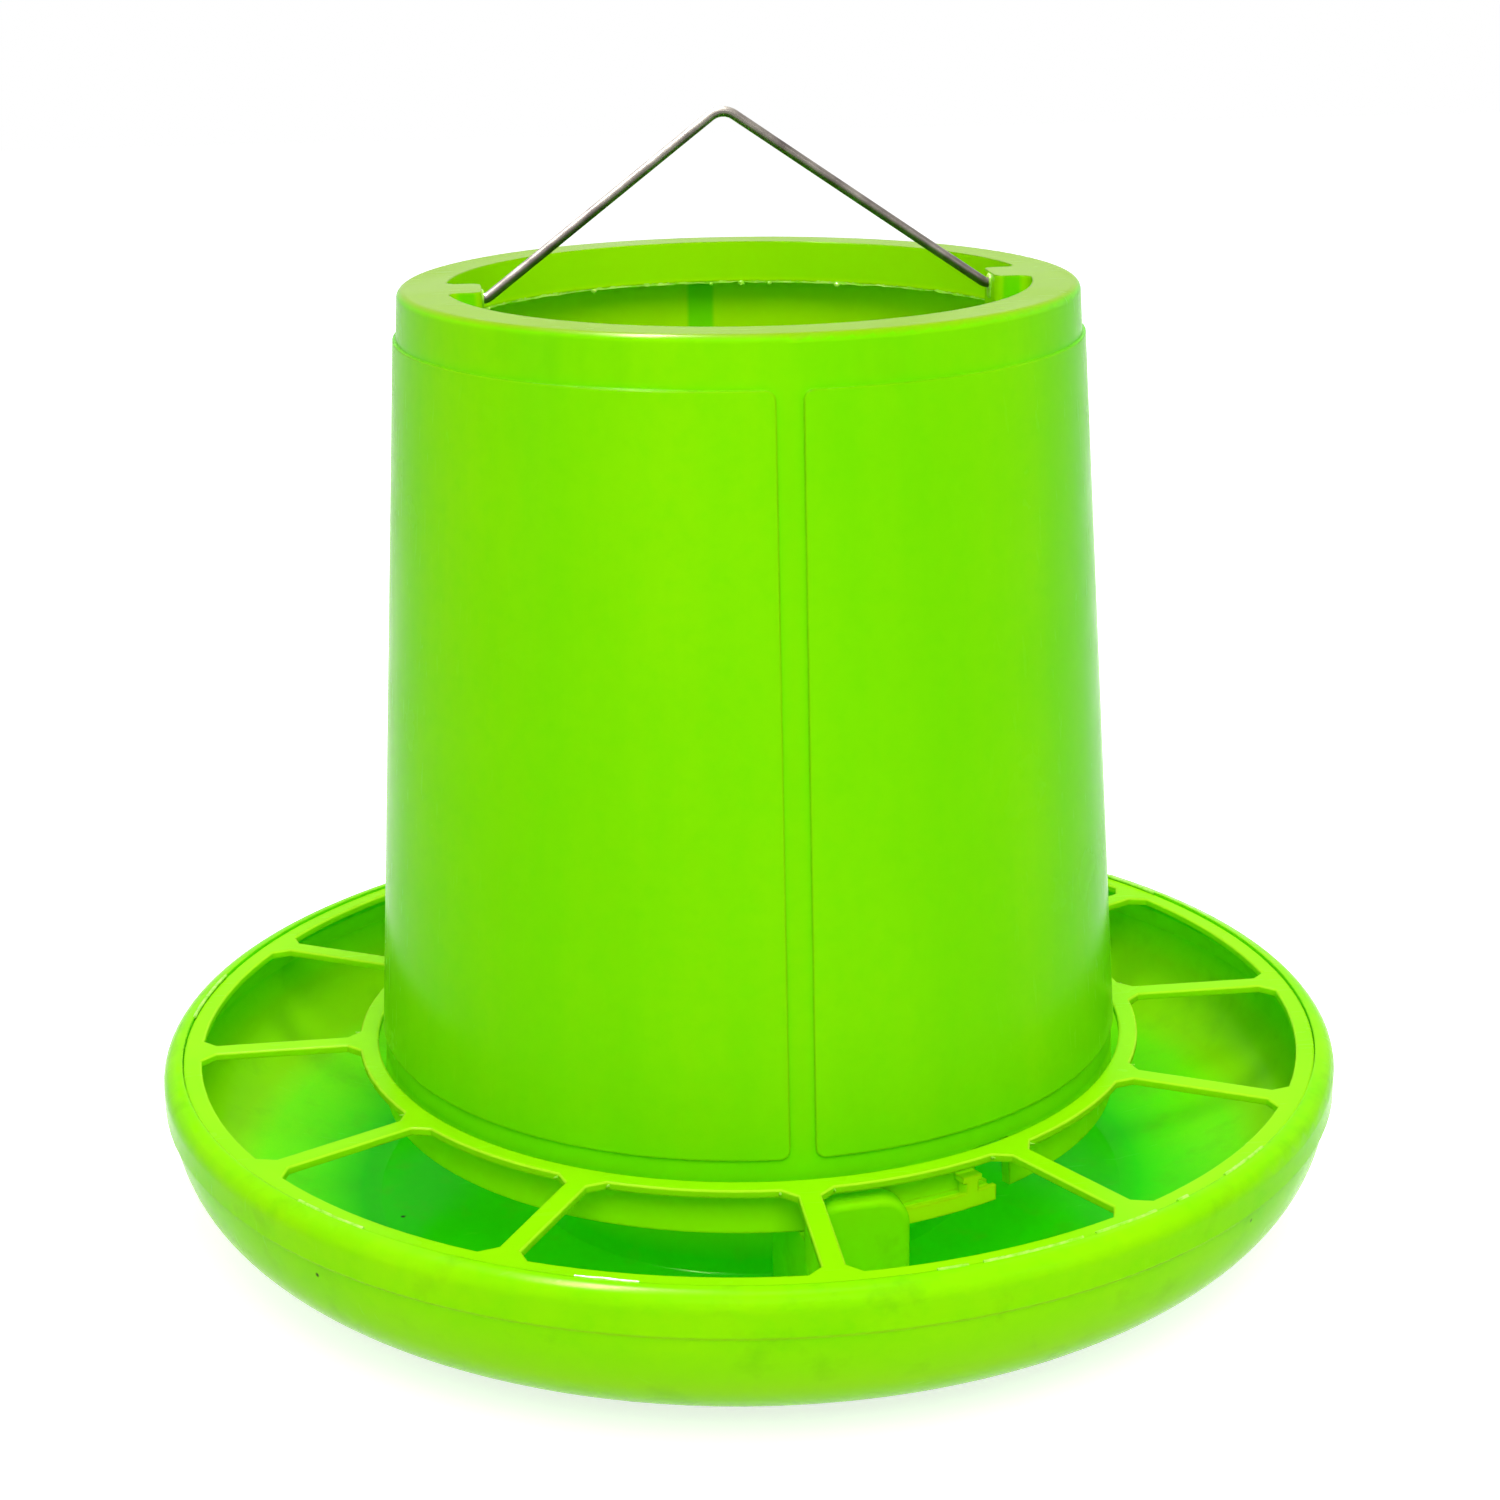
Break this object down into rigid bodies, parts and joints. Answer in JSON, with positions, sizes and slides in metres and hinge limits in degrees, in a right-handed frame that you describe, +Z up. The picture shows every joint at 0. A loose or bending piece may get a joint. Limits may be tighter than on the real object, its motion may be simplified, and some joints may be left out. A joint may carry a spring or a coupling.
{
  "type": "poultry feeder",
  "caption": "Round plastic poultry feeder: a tapered hopper twist-locked into a wide pan, with a spoked grille over the trough and a wire bail.",
  "frame": {"origin": "centre of the underside of the pan's foot ring, on the surface that the feeder stands on", "axes": "+Z up along the hopper's centre line; +X to the right, along the bail's turning axis; -Y towards the front, where the hopper's plain upright band is"},
  "size_m": [0.3052, 0.3052, 0.2842],
  "materials": {
    "pan_plastic": "glossy lime green moulding",
    "grille_plastic": "glossy lime green moulding",
    "hopper_plastic": "glossy lime green moulding, slightly translucent",
    "bail_wire": "dull zinc-plated wire"
  },
  "bodies": {
    "body": {"pan": "pan_plastic", "grille": "grille_plastic"},
    "hopper_body": {"hopper": "hopper_plastic"},
    "bail_body": {"bail": "bail_wire"}
  },
  "joints": [
    {"name": "hopper_twist", "type": "hinge", "parent": "body", "child": "hopper_body", "pos_m": [0, 0, 0], "axis": [0, 0, 1], "range_deg": [-9, 16]},
    {"name": "bail_swing", "type": "hinge", "parent": "hopper_body", "child": "bail_body", "pos_m": [0, 0, 0.2401], "axis": [1, 0, 0], "continuous": true}
  ]
}
